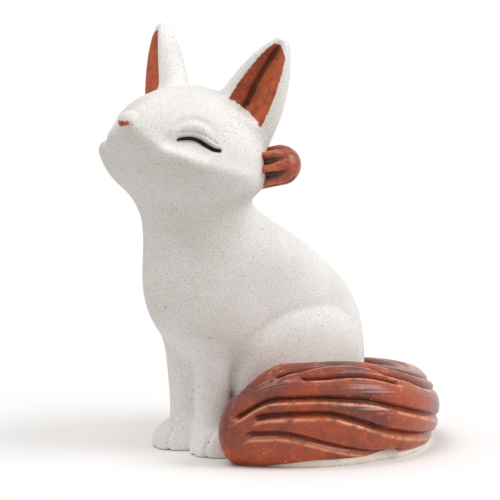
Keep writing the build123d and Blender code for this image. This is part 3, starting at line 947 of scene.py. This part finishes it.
# Rows of points along the tail and points in each row
LENGTH_ROWS = 300
TIP_ROWS = 100
DOME_ROWS = 25
ROUND = 300
SOLE_ROW = 320
FOOT_ROWS = slice(0, 375, 4)
dome = np.linspace(0, 1, DOME_ROWS + 1)[1:] * math.pi / 2
tail_turn = np.concatenate([
    np.linspace(TAIL_ROOT, TAIL_FULL, LENGTH_ROWS, endpoint=False),
    TAIL_FULL + (DOME_START - TAIL_FULL) * np.sin(np.linspace(0, math.pi / 2, TIP_ROWS)),
    DOME_START + (TAIL_END - DOME_START) * np.sin(dome),
])[:, None]
ROWS = len(tail_turn)
scale = np.concatenate([np.ones(LENGTH_ROWS + TIP_ROWS), np.maximum(np.cos(dome), DOME_OPENING)])[:, None]
half_width, half_height, level, axis = tail_form(np.maximum(tail_turn, DOME_START))
rim = np.minimum(rim_height(tail_turn), level + RIM_LIMIT * half_height)
bottom = np.arcsin(np.clip((rim - level) / half_height, -1, 1))
lap = np.linspace(0, 1, ROUND)[None, :]
angle = bottom + (math.pi - 2 * bottom) * lap
degrees = np.degrees(angle)
girth = 0.5 * (half_width + half_height)

# Grooves sunk into the tail, with rounded locks between them
sink = np.zeros_like(angle)
nearest = np.full_like(angle, np.inf)
bands = {name: np.zeros_like(angle) for name in BANDS}
for stops, depth in GROOVES:
    course = smooth_path(stops, GROOVE_POINTS)
    order = np.argsort(course[:, 0])
    line = np.interp(tail_turn, course[order, 0], course[order, 1])
    start = stops[0][0]
    end = stops[-1][0] + GROOVE_OVERRUN
    inside = smooth_step(np.minimum(tail_turn - start, end - tail_turn) / GROOVE_FADE)
    above = np.radians(degrees - line) * girth * np.where(line > 90, -1, 1)
    wall = np.clip(1 - np.abs(above) / np.where(above > 0, UPPER_WALL, LOWER_WALL), 0, 1)
    sink = np.maximum(sink, depth * inside * np.minimum(girth / FULL_GIRTH, 1) * wall**1.2)
    nearest = np.minimum(nearest, np.abs(above) + (1 - inside) * GROOVE_END_GAP)
    for name, (height, width) in BANDS.items():
        bands[name] = np.maximum(bands[name], inside * bell(above - height, width))
wave = HAIR_WAVE * np.sin(np.radians(tail_turn * HAIR_WAVE_PITCH))
hair = HAIR_HEIGHT * np.sin(degrees * HAIR_PITCH + wave)
locks = LOCK_HEIGHT * (1 - np.exp(-nearest / LOCK_REACH))
ease = 1 - EASE_SHARE * rise(tail_turn, EASE_START, EASE_TURN)
sink = ease * (sink - hair * rise(nearest, 0, HAIR_REACH) - locks + LOCK_BASE)
radius = axis + (half_width - sink) * np.cos(angle) * scale
height = level + (half_height - sink) * np.sin(angle) * scale
tail_angle = np.radians(tail_turn)
tail_points = np.stack([
    TAIL_MIDDLE + radius * np.cos(tail_angle),
    radius * np.sin(tail_angle),
    np.maximum(height, rim * RIM_SLACK),
], -1).reshape(-1, 3)
i, j = np.meshgrid(np.arange(ROWS - 1) * ROUND, np.arange(ROUND - 1), indexing="ij")
corner = i + j
tail_faces = np.stack([corner, corner + 1, corner + ROUND + 1, corner + ROUND], -1).reshape(-1, 4)
row = np.arange(SOLE_ROW, ROWS - 1) * ROUND
sole = np.stack([row, row + ROUND, row + 2 * ROUND - 1, row + ROUND - 1], -1)
tail_faces = np.vstack([tail_faces, sole])
tail_values = {name: values.ravel() for name, values in bands.items()}
tail_piece = make_piece("tail_glaze", tail_points, tail_faces, None, tail_values)
place(tail_piece, "tail", TAIL_GLAZE)

# Bare foot of the tail
FOOT_TUCK = 0.5
FOOT_TUCK_SHARE = 5
SOLE_TUCK = 1.6
FOOT_LAP = 0.3
FOOT_INSET = 0.05
FOOT_BEVEL = 0.25
FLAT = np.array([1.0, 1.0, 0.0])
tail_rows = tail_points.reshape(ROWS, ROUND, 3)
foot_out = tail_rows[FOOT_ROWS, 0]
foot_in = tail_rows[FOOT_ROWS, -1]
inward = foot_in - foot_out
width = np.linalg.norm(inward, axis=1, keepdims=True)
inward = inward / width
tuck = np.minimum(FOOT_TUCK, width / FOOT_TUCK_SHARE)


def foot_lines(edge, inward):
    """Lines of the foot below one edge of the glaze, from just inside the tail down to the table."""
    return [
        edge + (0, 0, FOOT_LAP) + inward * tuck,
        edge + inward * FOOT_INSET,
        (edge + inward * tuck) * FLAT + (0, 0, FOOT_BEVEL),
        (edge + inward * tuck * SOLE_TUCK) * FLAT,
    ]


lines = foot_lines(foot_out, inward) + foot_lines(foot_in, -inward)[::-1]
foot_points = np.stack(lines, 1).reshape(-1, 3)
foot = make_piece("tail_foot_clay", foot_points, ring_faces(len(foot_out), len(lines)))
place(foot, "tail_foot", BARE_CLAY)

# Floor, which fades out round the figurine, in metres
FLOOR_HALF = 3
FADE_START = 0.055
FADE_END = 0.12
floor_mesh = bpy.data.meshes.new("floor")
corners = [(-1, -1), (1, -1), (1, 1), (-1, 1)]
floor_mesh.from_pydata([(x * FLOOR_HALF, y * FLOOR_HALF, 0) for x, y in corners], [], [(0, 1, 2, 3)])
floor = bpy.data.objects.new("floor", floor_mesh)
bpy.context.scene.collection.objects.link(floor)
n = Nodes("floor", 1.0, 0.0)
n.colour((0.95, 0.95, 0.96, 1.0))
distance = n.add("ShaderNodeVectorMath", operation="LENGTH")
n.link(n.place, distance.inputs[0])
clear = n.add("ShaderNodeBsdfTransparent")
join = n.add("ShaderNodeMixShader")
n.link(n.ramp(distance.outputs["Value"], FADE_START, FADE_END), join.inputs[0])
n.link(n.shader.outputs[0], join.inputs[1])
n.link(clear.outputs[0], join.inputs[2])
n.link(join.outputs[0], n.tree.nodes["Material Output"].inputs["Surface"])
floor_mesh.materials.append(n.material)

# Lights
LIGHT_SIZE = 0.8
LIGHT_COLOUR = (0.96, 0.98, 1.0)
LIGHT_TARGET = Vector((0.0, 0.0, 0.05))


def area_light(name, location, power):
    lamp = bpy.data.lights.new(name, "AREA")
    lamp.shape = "DISK"
    lamp.size = LIGHT_SIZE
    lamp.energy = power
    lamp.color = LIGHT_COLOUR
    light = bpy.data.objects.new(name, lamp)
    light.location = location
    light.rotation_euler = (LIGHT_TARGET - Vector(location)).to_track_quat("-Z", "Y").to_euler()
    bpy.context.scene.collection.objects.link(light)


area_light("top_softbox", (-0.10, -0.35, 1.1), 4.6)
area_light("right_softbox", (0.8, 0.5, 0.7), 6.6)

# World: white where the camera or a reflection sees it, dimmer and warmer as light
WORLD_DIM = 0.56
WORLD_WARM = (1.0, 0.95, 0.89, 1.0)
WORLD_WHITE = (1.0, 1.0, 1.0, 1.0)
world = bpy.data.worlds.new("studio")
world.use_nodes = True
bpy.context.scene.world = world
tree = world.node_tree
paths = tree.nodes.new("ShaderNodeLightPath")
seen = paths.outputs["Is Camera Ray"]
for ray in ("Is Transmission Ray", "Is Glossy Ray"):
    either = tree.nodes.new("ShaderNodeMath")
    either.operation = "MAXIMUM"
    tree.links.new(seen, either.inputs[0])
    tree.links.new(paths.outputs[ray], either.inputs[1])
    seen = either.outputs[0]
strength = tree.nodes.new("ShaderNodeMapRange")
tree.links.new(seen, strength.inputs["Value"])
strength.inputs["To Min"].default_value = WORLD_DIM
strength.inputs["To Max"].default_value = 1.0
tree.links.new(strength.outputs["Result"], tree.nodes["Background"].inputs["Strength"])
tint = tree.nodes.new("ShaderNodeMix")
tint.data_type = "RGBA"
tree.links.new(seen, tint.inputs["Factor"])
tint.inputs[6].default_value = WORLD_WARM
tint.inputs[7].default_value = WORLD_WHITE
tree.links.new(tint.outputs[2], tree.nodes["Background"].inputs["Color"])

# Camera
AZIMUTH = math.radians(45.0)
ELEVATION = math.radians(9.5)
DISTANCE = 1.6
VIEW_WIDTH = 0.14
SENSOR = 36.0
VIEW_TARGET = Vector((-0.0034, -0.0034, 0.0531))
forward = Vector((
    -math.sin(AZIMUTH) * math.cos(ELEVATION),
    math.cos(AZIMUTH) * math.cos(ELEVATION),
    -math.sin(ELEVATION),
))
camera_data = bpy.data.cameras.new("camera")
camera_data.sensor_width = SENSOR
camera_data.lens = SENSOR * DISTANCE / VIEW_WIDTH
camera = bpy.data.objects.new("camera", camera_data)
camera.location = VIEW_TARGET - forward * DISTANCE
camera.rotation_euler = forward.to_track_quat("-Z", "Y").to_euler()
bpy.context.scene.collection.objects.link(camera)
bpy.context.scene.camera = camera
bpy.context.scene.view_settings.view_transform = "Standard"
